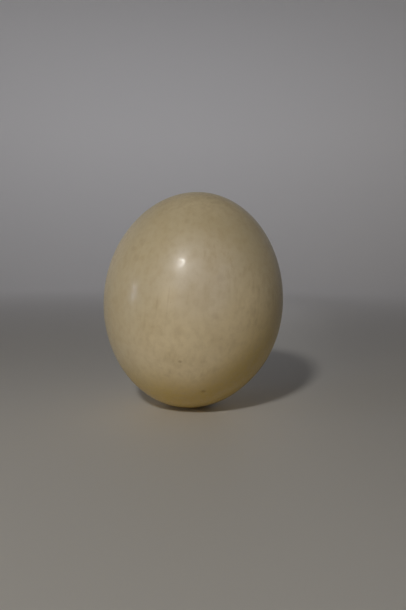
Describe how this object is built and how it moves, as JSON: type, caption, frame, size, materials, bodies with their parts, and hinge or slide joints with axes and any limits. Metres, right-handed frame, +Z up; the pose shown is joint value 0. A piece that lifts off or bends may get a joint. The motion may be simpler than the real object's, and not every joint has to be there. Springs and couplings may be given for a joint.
{
  "type": "ostrich egg",
  "caption": "Large cream egg with a smooth, satin, fine-pored shell, nearly alike at both ends, standing on end on a small flat spot with a slight lean.",
  "frame": {"origin": "centre of the small flat spot that the egg stands on", "axes": "+Z up, nearly along the egg's long axis; the long axis leans 5.7 degrees from +Z towards +X, and -Y faces the viewer who sees it lean to the right"},
  "size_m": [0.1272, 0.127, 0.1531],
  "materials": {
    "eggshell": "satin"
  },
  "bodies": {
    "root": {"egg": "eggshell"}
  },
  "joints": []
}
